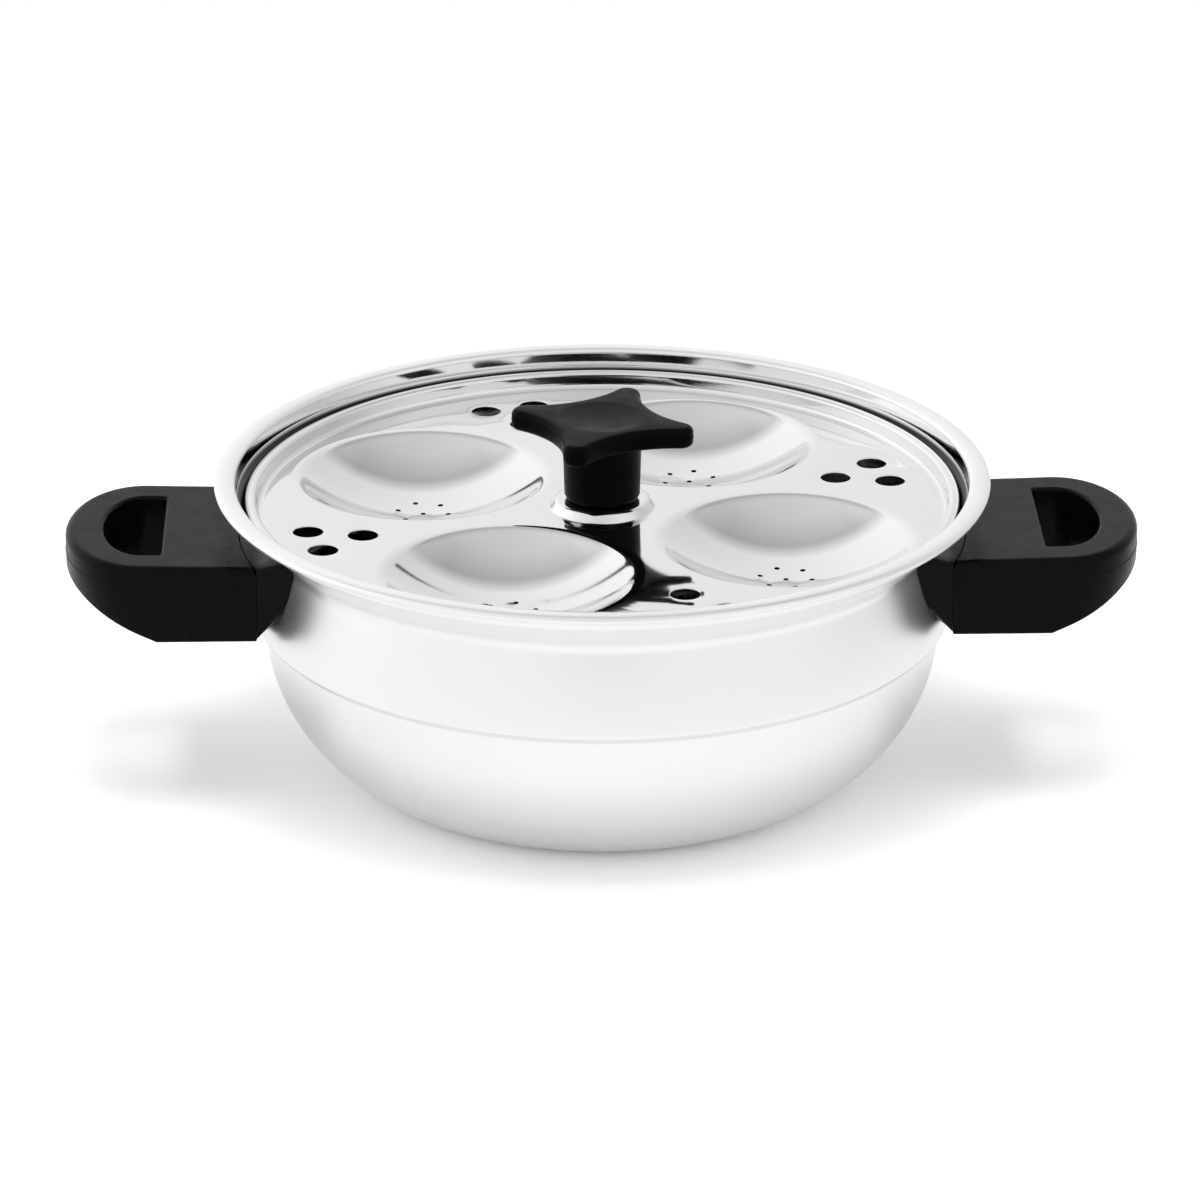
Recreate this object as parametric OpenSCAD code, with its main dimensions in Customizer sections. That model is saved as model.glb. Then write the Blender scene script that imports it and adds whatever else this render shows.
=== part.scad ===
// Idli steamer: a flared steel pot with two side handles and a lift-out rack
// of cavity plates on a central spindle. Millimetres, +Z up, the origin at the
// centre of the base, the handles along X.

/* [Pot] */
// Height from the base to the top of the rim
pot_h = 102; // [98:0.5:112]
// Outer radius of the rolled rim
rim_r = 125; // [122:0.5:130]
// Width of the rolled rim
rim_w = 6.8; // [5.5:0.1:7.5]
// Thickness of the rolled rim
rim_t = 3.2; // [2.4:0.1:3.6]
// Depth of the upright collar below the rim top
collar_depth = 6.6; // [5:0.1:7]
// How far the neck is set in from the collar
neck_in = 12; // [10:0.25:14]
// Depth of the neck below the rim top
neck_depth = 17; // [16:0.25:18]
// How far the belly's lower edge stands out past the neck
belly_out = 5.7; // [4:0.1:7]
// How far the belly bows out past a straight cone
belly_bow = 0.5; // [0:0.1:1]
// Depth of the belly's lower edge below the rim top
belly_depth = 45.7; // [44:0.1:48]
// How far the bowl is set in below the belly
ledge_in = 3.3; // [2.4:0.1:4]
// Height of the ledge between belly and bowl
ledge_h = 2.6; // [2:0.1:3.2]
// Radius of the flat base
base_r = 71; // [60:0.5:78]
// Sheet thickness of the pot
pot_t = 0.8; // [0.6:0.05:1]
// Height at which the base is parted from the bowl
base_part_z = 5; // [3:0.5:8]
// Distance below the ledge at which the bowl is parted from the wall
wall_part_drop = 2; // [1:0.5:6]

/* [Plates] */
// Gap between the top plate's edge and the collar
plate_gap = 3; // [2:0.1:4]
// Width of a plate's rolled edge
plate_rim_w = 3.6; // [3:0.1:4]
// Thickness of a plate's rolled edge
plate_rim_t = 2.6; // [2:0.1:3]
// Height of a plate's edge above its flat
plate_rim_h = 5.6; // [5:0.1:6.5]
// Sheet thickness of the plates
plate_t = 0.6; // [0.5:0.05:0.8]
// Gap between the lower plate's edge and the neck
lower_gap = 7; // [5:0.5:10]
// Distance from the lower plate's flat to the top plate's
plate_pitch = 42; // [39:0.5:45]
// Land between two cavities of the top plate
cup_web = 6.8; // [5:0.1:10]
// Land between a cavity of the top plate and the plate's bend
cup_edge = 1.4; // [0.8:0.1:3]
// Land between two cavities of the lower plate
lower_web = 3; // [2:0.1:6]
// Land between a cavity of the lower plate and that plate's bend
lower_edge = 0.6; // [0.4:0.1:2]
// Depth of every cavity
cup_depth = 14; // [10:0.5:16]
// Radius of the soft lip of a cavity
lip_r = 7; // [4:0.5:8]
// Radius of a steam hole
vent_r = 4.85; // [4:0.05:5.5]
// Distance of the outer steam holes from the plate's bend
vent_inset = 13.4; // [11:0.2:16]
// Distance of the inner steam hole from the line of the outer two
vent_step = 15.8; // [13:0.2:19]
// Distance between two outer steam holes
vent_pitch = 16.9; // [14:0.1:20]
// Radius of a drain hole at the bottom of a cavity
drain_r = 0.9; // [0.6:0.1:1.2]
// Radius of the ring of drain holes
drain_ring_r = 8.4; // [6:0.2:11]
// Outer radius of the raised hub
hub_r = 17; // [15.5:0.25:18]
// Height of the raised hub
hub_h = 3; // [2.5:0.1:3.5]
// Turn of the steam holes away from the handles
plate_turn = 17.2; // [0:0.1:45]

/* [Spindle] */
// Radius of the spindle rod
rod_r = 4; // [3.5:0.1:4.5]
// Outer radius of the spacer tube
spacer_r = 6.5; // [6:0.1:7.5]
// Radius of the washer under the lower plate
washer_r = 9; // [8:0.25:9.5]
// Thickness of that washer
washer_t = 1.5; // [1:0.1:2]
// Width across the flats of the cap nut
nut_af = 13; // [11.5:0.1:14]
// Height of the cap nut's hexagon
nut_h = 6.5; // [5:0.1:7.5]

/* [Knob] */
// Radius of the knob's column at its foot
column_r = 12.2; // [11:0.1:13]
// Radius of the column under the head
column_top_r = 12.7; // [11:0.1:13.5]
// Height of the knob above the hub
knob_h = 27.6; // [24:0.2:34]
// Thickness of the knob's head
head_t = 6.8; // [5:0.1:8.5]
// Distance from the axis to a tip of the head
tip_r = 30.5; // [27:0.25:34]
// Rounding of a tip
tip_round = 4.4; // [3.5:0.1:5.2]
// Distance from the axis to the middle of a hollow side
waist_r = 18; // [16.5:0.1:19]
// Radius of the dished top
dish_r = 14; // [11:0.25:15.5]
// Depth of the dished top
dish_depth = 0.8; // [0.4:0.1:1.2]
// Turn of the head's tips away from the handles
knob_turn = -19.5; // [-45:0.5:45]
// Outer radius of the threaded insert
insert_r = 6.5; // [5.5:0.1:7.5]
// Length of the threaded insert
insert_h = 10; // [8:0.25:13]
// Length of spindle thread inside the insert
thread_h = 6.4; // [5:0.1:7.5]

/* [Handles] */
// Thickness of a guard between the belly and the grip
guard_t = 4.5; // [3.8:0.1:6]
// Length of a grip past the guard
grip_len = 56.4; // [52:0.2:62]
// Half the width of a grip
grip_half_w = 38; // [36:0.25:39.5]
// Height of a grip at the pot
grip_h = 25; // [23.5:0.25:27]
// Depth of a grip's top below the rim top, at the pot
grip_drop = 17.7; // [16.5:0.1:19]
// Upward slope of a grip's top, in degrees
grip_tilt = 1.4; // [0:0.1:2.5]
// Length of the rounded nose of a grip
nose_len = 25.5; // [22:0.25:28]
// Rounding of a grip's top edges
grip_round = 2.6; // [1.5:0.1:3.5]
// Distance from the guard to the bend in a grip's underside
under_len = 25.8; // [23:0.2:32]
// Slope of the underside past that bend, in degrees
under_slope = 23; // [18:0.5:26]
// Thickness of a grip around the finger slot
slot_wall = 12.4; // [11:0.1:14]
// Distance from the guard to the straight side of the finger slot
slot_start = 24.5; // [22:0.1:27]
// Rounding of the slot's straight corners
slot_round = 1.5; // [1:0.1:2.5]
// Half the width of a guard where it meets the pot
guard_half_w = 42.5; // [41:0.25:44]
// Depth of a guard's rounded foot
guard_foot = 17; // [14:0.25:19]
// How far a guard's top rises towards the pot
guard_rise = 4; // [1:0.25:5]
// Depth of a guard's side, from the middle of its joint
guard_depth = 16; // [14.5:0.25:18]
// Depth of the straight part of a guard's side
guard_straight = 6; // [5:0.25:8]

/* [Handle fixing] */
// Half the width of the bracket's tab
tab_half_w = 9; // [8:0.25:10]
// Sheet thickness of the bracket
bracket_t = 1.5; // [1.2:0.1:2]
// Height of the bracket's welded pad
pad_h = 19; // [16:0.5:20]
// Length of the tab past the guard
tab_len = 19.3; // [17:0.1:20.5]
// Depth of the tab's top below the grip's top
tab_drop = 8.6; // [7.5:0.1:10]
// Distance from the guard to the screw
screw_start = 11.8; // [10:0.1:13]
// Radius of the screw's thread
screw_r = 2.5; // [2:0.1:2.75]
// Radius of the screw's head
screw_head_r = 4.7; // [4:0.1:5]
// Height of the screw's head
screw_head_h = 3; // [2:0.1:3.2]
// Depth of the counterbore for the head
screw_sink = 5; // [4.5:0.1:6]
// Width across the flats of the nut on the tab
screw_nut_af = 8; // [7:0.1:8.5]
// Height of that nut
screw_nut_h = 4; // [3:0.1:4.5]

/* [Hidden] */
$fn = 96;

// Clearances
seat_gap = 0.3;
run_gap = 0.05;
pass_gap = 0.2;
cut = 1;
slice = 0.01;

// Pot section
base_round = 5;
ledge_round = 1.1;
belly_round = 1.3;
neck_round = 4.5;
shoulder_round = 2;
collar_in_r = rim_r - rim_w;
collar_out_r = collar_in_r + pot_t;
collar_z = pot_h - collar_depth;
neck_r = collar_out_r - neck_in;
neck_z = pot_h - neck_depth;
belly_r = neck_r + belly_out;
belly_z = pot_h - belly_depth;
bowl_r = belly_r - ledge_in;
bowl_z = belly_z - ledge_h;
wall_part_z = bowl_z - wall_part_drop;
bowl_run = bowl_r - base_r;
bowl_arc_r = (bowl_z * bowl_z + bowl_run * bowl_run) / (2 * bowl_run);
bowl_arc_end = asin(bowl_z / bowl_arc_r);
rim_mid_r = rim_r - rim_w / 2;
rim_mid_z = pot_h - rim_t / 2;
rim_start = 180 + acos((rim_mid_r - collar_out_r) / (rim_w / 2));
rim_start_z = rim_mid_z + rim_t / 2 * sin(rim_start);

// Seat of the top plate on the sloping shoulder inside the mouth
seat_slope = atan2(collar_z - neck_z, collar_out_r - neck_r);
plate_r = collar_in_r - plate_gap;
plate_wall_r = plate_r - plate_rim_w;
bend_r = 2.4;
bend_x = plate_wall_r + plate_t - bend_r;
seat_lift = (bend_r + seat_gap + pot_t) / cos(seat_slope);
bend_z = collar_z + (bend_x - collar_out_r) * tan(seat_slope) + seat_lift;
plate_z = bend_z - bend_r + plate_t;
hub_z = plate_z + hub_h;
lower_r = neck_r - lower_gap;
lower_z = plate_z - plate_pitch;
lower_hub_z = lower_z + hub_h;
rod_hole_r = rod_r + pass_gap;
hub_slope_w = 2;
hub_round = 1.8;
hub_foot_round = 0.8;

// Spindle
rod_chamfer = 0.8;
rod_end_gap = 0.6;
nut_cap_t = 2.2;
washer_z = lower_hub_z - plate_t - washer_t;
nut_z = washer_z - nut_h;
nut_dome_r = nut_af / 2 - 0.4;
nut_bore_h = nut_h + nut_dome_r - nut_cap_t;
rod_z = washer_z - nut_bore_h + rod_end_gap;

// Knob
insert_inset = 0.4;
thread_relief = 1.2;
foot_bevel_w = 0.8;
foot_bevel_h = 1;
knob_z = hub_z + seat_gap;
insert_z = knob_z + insert_inset;
rod_top_z = insert_z + thread_h;
head_z = hub_z + knob_h - head_t;
tip_mid_r = tip_r - tip_round;
waist_gap = waist_r * waist_r + tip_mid_r * tip_mid_r - sqrt(2) * waist_r * tip_mid_r;
waist_arc_r = (waist_gap - tip_round * tip_round) / (2 * tip_round + sqrt(2) * tip_mid_r - 2 * waist_r);
waist_mid_r = waist_r + waist_arc_r;
tip_to_waist = [waist_mid_r * cos(45) - tip_mid_r, waist_mid_r * sin(45)];
tip_half_angle = atan2(tip_to_waist[1], tip_to_waist[0]);
waist_half_angle = tip_half_angle - 45;

// Handles
joint_r = belly_r + guard_t;
root_x = joint_r - guard_depth;
guard_corner = 3;
grip_z = pot_h - grip_drop;
grip_foot_z = grip_z - grip_h;
nose_x = joint_r + grip_len - nose_len;
slot_x = joint_r + slot_start;
under_x = joint_r + under_len;
slot_half_w = grip_half_w - slot_wall;
slot_nose = nose_len - slot_wall;
tab_z = grip_z - tab_drop - bracket_t;
pad_z = tab_z + bracket_t / 2 - pad_h / 2;
pad_margin = 2;
pad_half_w = tab_half_w + pad_margin;
screw_x = joint_r + screw_start;
screw_seat_z = grip_foot_z + screw_sink;
screw_washer_r = screw_head_r + 0.5;
screw_washer_t = 1;
screw_top_z = tab_z + bracket_t + screw_nut_h + 0.5;

function unit(v) = v / norm(v);

function arc(x, y, r, from, to, n) =
    [for (i = [0:n]) let (a = from + (to - from) * i / n) [x + r * cos(a), y + r * sin(a)]];

// An arc of radius r that rounds the corner at b between a and c
function corner(a, b, c, r, n = 6) =
    let (
        u = unit(a - b),
        v = unit(c - b),
        half = acos(u * v) / 2,
        mid = b + unit(u + v) * r / sin(half),
        p = b + u * r / tan(half) - mid,
        q = b + v * r / tan(half) - mid,
        from = atan2(p[1], p[0]),
        turn = atan2(q[1], q[0]) - from,
        sweep = turn > 180 ? turn - 360 : turn < -180 ? turn + 360 : turn
    )
    arc(mid[0], mid[1], r, from, from + sweep, n);

function flat2(p) = [p[0], p[1]];

// A path whose points are [x, y] or, where they are rounded, [x, y, radius]
function rounded(path) =
    [for (i = [0:len(path) - 1])
        each len(path[i]) == 3
            ? corner(flat2(path[i - 1]), flat2(path[i]), flat2(path[i + 1]), path[i][2])
            : [path[i]]];

// The path moved sideways, to its left, by the distance t
function moved(path, t) =
    let (last = len(path) - 1)
    [for (i = [0:last])
        let (
            d = unit(unit(path[min(i + 1, last)] - path[i - (i == last ? 1 : 0)])
                + unit(path[max(i, 1)] - path[max(i, 1) - 1])),
            e = unit(path[max(i, 1)] - path[max(i, 1) - 1])
        )
        path[i] + t / (d * e) * [-d[1], d[0]]];

function backwards(list) = [for (i = [len(list) - 1:-1:0]) list[i]];

// Outline of the pot's wall, outside, from the base to the underside of the rim
function pot_path() =
    rounded(concat(
        [[0, 0], [base_r, 0, base_round]],
        [for (p = arc(bowl_r - bowl_arc_r, bowl_z, bowl_arc_r, -bowl_arc_end, 0, 20))
            if (p[1] > pot_t && p[1] < bowl_z - ledge_round) p],
        [[bowl_r, bowl_z, ledge_round], [belly_r, belly_z, belly_round]],
        [for (i = [1:6]) let (s = i / 7) [
            belly_r + (neck_r - belly_r) * s + belly_bow * 4 * s * (1 - s),
            belly_z + (neck_z - belly_z) * s]],
        [[neck_r, neck_z, neck_round], [collar_out_r, collar_z, shoulder_round],
            [collar_out_r, rim_start_z]]
    ));

// The pot's whole sheet, with its rolled rim
module pot_sheet() {
    wall = pot_path();
    rim = [for (a = [0:36]) let (t = rim_start + (540 - rim_start) * a / 36)
        [rim_mid_r + rim_w / 2 * cos(t), rim_mid_z + rim_t / 2 * sin(t)]];
    inside = moved(wall, pot_t);
    rotate_extrude()
        polygon(concat(wall, rim, backwards(inside)));
}

// The sheet is one pressing, given in three parts that meet face to face: the
// base, the bowl, and, from just below the ledge, the wall with the rim
module pot_part(from_z, to_z) {
    color("gainsboro")
        intersection() {
            pot_sheet();
            translate([0, 0, from_z])
                cylinder(r = rim_r + cut, h = to_z - from_z);
        }
}

module pot_base() {
    pot_part(-cut, base_part_z);
}

module pot_bowl() {
    pot_part(base_part_z, wall_part_z);
}

module pot_wall() {
    pot_part(wall_part_z, pot_h + cut);
}

// All that lies inside the pot's outer skin
module pot_envelope() {
    wall = pot_path();
    rotate_extrude()
        polygon(concat(wall, [[0, rim_start_z]]));
}

// Outer radius of the flat of a plate, inside the bend at its edge
function flat_r(outer_r) = outer_r - plate_rim_w - bend_r + plate_t;

// Distance of the cavities from the axis, with the land web between two of
// them and the land edge between one and the plate's bend
function cup_pitch_r(outer_r, web, edge) = (flat_r(outer_r) - edge + web / 2) / (1 + sqrt(0.5));

// Radius of a cavity at its sharp edge, inside the lip
function cup_r(pitch_r, web) =
    let (lip_out_r = pitch_r * sqrt(0.5) - web / 2)
    (lip_out_r + sqrt(lip_out_r * lip_out_r - 4 * lip_r * cup_depth)) / 2;

// Section of a cavity's upper skin, from its centre to the lip
function cup_path(r) =
    let (
        ball_r = (r * r + cup_depth * cup_depth) / (2 * cup_depth),
        edge = asin(r / ball_r),
        cap = arc(0, ball_r - cup_depth, ball_r, -90, -90 + edge, 12),
        path = rounded(concat([for (i = [0:11]) cap[i]], [[r, 0, lip_r], [r + lip_r, 0]]))
    )
    [for (i = [0:len(path) - 2]) path[i]];

module cup_cut(r) {
    path = cup_path(r);
    end_r = path[len(path) - 1][0];
    rotate_extrude()
        polygon(concat(path, [[end_r, cut], [0, cut]]));
}

module cup_body(r) {
    path = moved(cup_path(r), -plate_t);
    end_r = path[len(path) - 1][0];
    rotate_extrude()
        polygon(concat(path, [[end_r, -plate_t / 2], [0, -plate_t / 2]]));
}

// A sheet disc with a raised hub, an upright wall and a rolled edge
module plate_disc(outer_r) {
    wall_r = outer_r - plate_rim_w;
    edge_r = outer_r - plate_rim_w / 2;
    edge_z = plate_rim_h - plate_rim_t / 2;
    top = rounded([
        [rod_hole_r, hub_h],
        [hub_r - hub_slope_w, hub_h, hub_round],
        [hub_r, 0, hub_foot_round],
        [wall_r, 0, bend_r - plate_t],
        [wall_r, edge_z]
    ]);
    under = moved(top, -plate_t);
    edge_start = 180 + acos((plate_rim_w / 2 - plate_t) / (plate_rim_w / 2));
    edge_start_z = edge_z + plate_rim_t / 2 * sin(edge_start);
    edge = [for (a = [0:24]) let (t = edge_start + (540 - edge_start) * a / 24)
        [edge_r + plate_rim_w / 2 * cos(t), edge_z + plate_rim_t / 2 * sin(t)]];
    under_wall = [for (i = [0:len(under) - 2]) under[i]];
    top_wall = [for (i = [0:len(top) - 2]) top[i]];
    rotate_extrude()
        polygon(concat(under_wall, [[wall_r + plate_t, edge_start_z]], edge, backwards(top_wall)));
}

module vent_holes(outer_r) {
    x = flat_r(outer_r) - vent_inset;
    for (q = [0:3])
        rotate(q * 90)
            for (at = [[x, -vent_pitch / 2], [x, vent_pitch / 2], [x - vent_step, 0]])
                translate([at[0], at[1], -plate_t - cut])
                    cylinder(r = vent_r, h = plate_t + 2 * cut);
}

module drain_holes() {
    translate([0, 0, -cup_depth - plate_t - cut]) {
        cylinder(r = drain_r, h = plate_t + 2 * cut, $fn = 24);
        for (a = [0:60:300])
            rotate(a)
                translate([drain_ring_r, 0, 0])
                    cylinder(r = drain_r, h = plate_t + 2 * cut, $fn = 24);
    }
}

// A plate with four cavities; its flat is at height 0
module cavity_plate(outer_r, web, edge, vents) {
    pitch_r = cup_pitch_r(outer_r, web, edge);
    r = cup_r(pitch_r, web);
    difference() {
        union() {
            plate_disc(outer_r);
            for (q = [0:3])
                rotate(45 + q * 90)
                    translate([pitch_r, 0, 0])
                        cup_body(r);
        }
        for (q = [0:3])
            rotate(45 + q * 90)
                translate([pitch_r, 0, 0]) {
                    cup_cut(r);
                    rotate(-45)
                        drain_holes();
                }
        if (vents)
            vent_holes(outer_r);
    }
}

module top_plate() {
    color("whitesmoke")
        translate([0, 0, plate_z])
            rotate(plate_turn)
                cavity_plate(plate_r, cup_web, cup_edge, true);
}

module lower_plate() {
    color("lightgrey")
        translate([0, 0, lower_z])
            rotate(plate_turn)
                cavity_plate(lower_r, lower_web, lower_edge, false);
}

module spacer_tube() {
    color("silver")
        translate([0, 0, lower_hub_z])
            difference() {
                cylinder(r = spacer_r, h = plate_pitch - plate_t);
                translate([0, 0, -cut])
                    cylinder(r = rod_hole_r, h = plate_pitch + cut);
            }
}

module spindle_rod() {
    color("darkgrey")
        translate([0, 0, rod_z]) {
            cylinder(r = rod_r, h = rod_top_z - rod_z - rod_chamfer);
            translate([0, 0, rod_top_z - rod_z - rod_chamfer])
                cylinder(r1 = rod_r, r2 = rod_r - rod_chamfer, h = rod_chamfer);
        }
}

module plate_washer() {
    color("silver")
        translate([0, 0, washer_z])
            difference() {
                cylinder(r = washer_r, h = washer_t);
                translate([0, 0, -cut])
                    cylinder(r = rod_hole_r, h = washer_t + 2 * cut);
            }
}

// Hexagon nut closed below by a dome
module cap_nut() {
    color("silver")
        difference() {
            union() {
                translate([0, 0, nut_z])
                    cylinder(r = nut_af / 2 / cos(30), h = nut_h, $fn = 6);
                translate([0, 0, nut_z])
                    intersection() {
                        sphere(r = nut_dome_r);
                        translate([0, 0, -nut_dome_r])
                            cylinder(r = nut_dome_r + cut, h = nut_dome_r + cut);
                    }
            }
            translate([0, 0, washer_z - nut_bore_h])
                cylinder(r = rod_r + run_gap, h = nut_bore_h + cut);
        }
}

// Outline of the knob's head, drawn in by the distance t: four rounded tips
// and four hollow sides
function head_outline(t) =
    [for (q = [0:3]) let (a = q * 90)
        let (side = arc(waist_mid_r * cos(a + 45), waist_mid_r * sin(a + 45), waist_arc_r + t,
            a + 225 + waist_half_angle, a + 225 - waist_half_angle, 8))
        each concat(
            arc(tip_mid_r * cos(a), tip_mid_r * sin(a), tip_round - t,
                a - tip_half_angle, a + tip_half_angle, 6),
            [for (i = [1:7]) side[i]])];

// Rings of the outline, each [drawn in, height], with soft edges; the foot and
// the top are fans about the axis, because the outline has hollow sides
module head_blank() {
    rings = [[1.2, 0], [0, 1.2], [0, head_t - 2], [0.6, head_t - 0.6], [1.9, head_t]];
    n = len(head_outline(0));
    last = (len(rings) - 1) * n;
    points = concat(
        [for (ring = rings) for (p = head_outline(ring[0])) [p[0], p[1], ring[1]]],
        [[0, 0, 0], [0, 0, head_t]]);
    sides = [for (k = [0:len(rings) - 2]) for (i = [0:n - 1]) let (j = (i + 1) % n)
        each [[k * n + i, (k + 1) * n + i, (k + 1) * n + j], [k * n + i, (k + 1) * n + j, k * n + j]]];
    foot = [for (i = [0:n - 1]) [last + n, i, (i + 1) % n]];
    top = [for (i = [0:n - 1]) [last + n + 1, last + (i + 1) % n, last + i]];
    polyhedron(points, concat(sides, foot, top));
}

module knob_head() {
    dish_ball_r = (dish_r * dish_r + dish_depth * dish_depth) / (2 * dish_depth);
    color("dimgrey")
        translate([0, 0, head_z])
            difference() {
                rotate(knob_turn)
                    head_blank();
                translate([0, 0, head_t - dish_depth + dish_ball_r])
                    sphere(r = dish_ball_r);
            }
}

// The column of the knob, which meets the head face to face
module knob_stem() {
    color("dimgrey")
        difference() {
            union() {
                translate([0, 0, knob_z])
                    cylinder(r1 = column_r - foot_bevel_w, r2 = column_r, h = foot_bevel_h);
                translate([0, 0, knob_z + foot_bevel_h])
                    cylinder(r1 = column_r, r2 = column_top_r, h = head_z - knob_z - foot_bevel_h);
            }
            translate([0, 0, knob_z - cut])
                cylinder(r = insert_r, h = insert_z - knob_z + insert_h + cut);
        }
}

module knob_insert() {
    color("goldenrod")
        translate([0, 0, insert_z])
            difference() {
                cylinder(r = insert_r, h = insert_h);
                translate([0, 0, -cut])
                    cylinder(r = rod_r + run_gap, h = thread_h + thread_relief + cut);
            }
}

// Outline of a grip, seen from above, drawn in by the distance t
module grip_outline(t) {
    polygon(concat(
        [[root_x, grip_half_w - t]],
        [for (i = [0:24]) let (a = 90 - i * 7.5)
            [nose_x + (nose_len - t) * cos(a), (grip_half_w - t) * sin(a)]],
        [[root_x, t - grip_half_w]]
    ));
}

module grip_blank() {
    deep = 2;
    translate([joint_r, 0, grip_foot_z])
        rotate([0, -grip_tilt, 0])
            translate([-joint_r, 0, 0])
                hull() {
                    translate([0, 0, -deep])
                        linear_extrude(height = grip_h + deep - grip_round)
                            grip_outline(0);
                    translate([0, 0, grip_h - grip_round * 0.3])
                        linear_extrude(height = slice)
                            grip_outline(grip_round * 0.3);
                    translate([0, 0, grip_h - slice])
                        linear_extrude(height = slice)
                            grip_outline(grip_round);
                }
}

module slot_outline() {
    polygon(rounded(concat(
        [[slot_x, 0], [slot_x, slot_half_w, slot_round]],
        [for (i = [0:16]) let (a = 90 - i * 11.25)
            [nose_x + slot_nose * cos(a), slot_half_w * sin(a)]],
        [[slot_x, -slot_half_w, slot_round], [slot_x, 0]]
    )));
}

// The hollow that takes the bracket's tab and nut
module tab_pocket() {
    translate([root_x, -tab_half_w - pass_gap, tab_z - pass_gap])
        cube([
            joint_r + tab_len + pass_gap - root_x,
            2 * (tab_half_w + pass_gap),
            bracket_t + screw_nut_h + 1 + 2 * pass_gap]);
}

module handle_grip() {
    color("dimgrey")
        difference() {
            grip_blank();
            cylinder(r = joint_r, h = 2 * pot_h);
            linear_extrude(height = 2 * pot_h)
                slot_outline();
            translate([0, -grip_half_w - cut, 0])
                cube([joint_r + 2 * grip_len, 2 * (grip_half_w + cut), grip_foot_z]);
            translate([under_x, -grip_half_w - cut, grip_foot_z])
                rotate([0, -under_slope, 0])
                    translate([-cut, 0, -grip_h])
                        cube([2 * grip_len, 2 * (grip_half_w + cut), grip_h]);
            tab_pocket();
            translate([screw_x, 0, grip_foot_z - cut]) {
                cylinder(r = screw_r + pass_gap, h = tab_z - grip_foot_z + cut);
                cylinder(r = screw_washer_r + pass_gap, h = screw_sink + cut);
            }
        }
}

// Outline of a guard on the pot: square above, with a rounded foot
module guard_outline(half_w, top, foot) {
    polygon(concat(
        [[half_w, top]],
        [for (i = [0:16]) let (a = -i * 11.25)
            [half_w * cos(a), grip_foot_z + foot + foot * sin(a)]],
        [[-half_w, top]]
    ));
}

module guard_blank() {
    hull() {
        for (x = [joint_r + cut, joint_r - guard_straight])
            translate([x, 0, 0])
                rotate([90, 0, 90])
                    linear_extrude(height = slice)
                        guard_outline(grip_half_w, grip_z, guard_corner);
        translate([root_x, 0, 0])
            rotate([90, 0, 90])
                linear_extrude(height = slice)
                    guard_outline(guard_half_w, grip_z + guard_rise, guard_foot);
    }
}

// The bracket's welded pad, grown by the distance t; it lies on the pot's wall
module bracket_pad(t) {
    intersection() {
        difference() {
            cylinder(r = joint_r, h = pot_h);
            pot_envelope();
        }
        translate([0, -pad_half_w - t, pad_z - t])
            cube([belly_r + bracket_t + t, 2 * (pad_half_w + t), pad_h + 2 * t]);
    }
}

module handle_bracket() {
    color("darkgrey")
        difference() {
            union() {
                bracket_pad(0);
                difference() {
                    translate([root_x, -tab_half_w, tab_z])
                        cube([joint_r + tab_len - root_x, 2 * tab_half_w, bracket_t]);
                    pot_envelope();
                }
            }
            translate([screw_x, 0, tab_z - cut])
                cylinder(r = screw_r + pass_gap, h = bracket_t + 2 * cut);
        }
}

module handle_guard() {
    color("dimgrey")
        difference() {
            intersection() {
                guard_blank();
                cylinder(r = joint_r, h = pot_h);
            }
            pot_envelope();
            bracket_pad(pass_gap);
            tab_pocket();
        }
}

module handle_nut() {
    color("silver")
        translate([screw_x, 0, tab_z + bracket_t])
            difference() {
                cylinder(r = screw_nut_af / 2 / cos(30), h = screw_nut_h, $fn = 6);
                translate([0, 0, -cut])
                    cylinder(r = screw_r + run_gap, h = screw_nut_h + 2 * cut);
            }
}

module handle_washer() {
    color("silver")
        translate([screw_x, 0, screw_seat_z - screw_washer_t])
            difference() {
                cylinder(r = screw_washer_r, h = screw_washer_t);
                translate([0, 0, -cut])
                    cylinder(r = screw_r + pass_gap, h = screw_washer_t + 2 * cut);
            }
}

module handle_screw() {
    head_foot_z = screw_seat_z - screw_washer_t - screw_head_h;
    bevel = 0.8;
    recess_w = 1;
    recess_h = 1.4;
    color("silver")
        translate([screw_x, 0, head_foot_z])
            difference() {
                union() {
                    cylinder(r1 = screw_head_r - bevel, r2 = screw_head_r, h = bevel);
                    translate([0, 0, bevel])
                        cylinder(r = screw_head_r, h = screw_head_h - bevel);
                    translate([0, 0, screw_head_h])
                        cylinder(r = screw_r, h = screw_top_z - head_foot_z - screw_head_h);
                }
                for (a = [0, 90])
                    rotate(a)
                        translate([-screw_head_r / 2, -recess_w / 2, -cut])
                            cube([screw_head_r, recess_w, recess_h + cut]);
            }
}

module left() {
    mirror([1, 0, 0])
        children();
}

pot_base();
pot_bowl();
pot_wall();
top_plate();
lower_plate();
spacer_tube();
spindle_rod();
plate_washer();
cap_nut();
knob_head();
knob_stem();
knob_insert();
left() handle_bracket();  // handle_bracket_left
left() handle_nut();  // handle_nut_left
left() handle_guard();  // handle_guard_left
left() handle_grip();  // handle_grip_left
left() handle_washer();  // handle_washer_left
left() handle_screw();  // handle_screw_left
handle_bracket();  // handle_bracket_right
handle_nut();  // handle_nut_right
handle_guard();  // handle_guard_right
handle_grip();  // handle_grip_right
handle_washer();  // handle_washer_right
handle_screw();  // handle_screw_right
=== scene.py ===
# Idli steamer: a flared steel pot with black side handles and a lift-out rack of
# cavity plates. Metres, +Z up, the handles along X. Piece sizes are in millimetres.
import math
import bpy
import bmesh
from mathutils import Matrix, Vector


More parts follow.
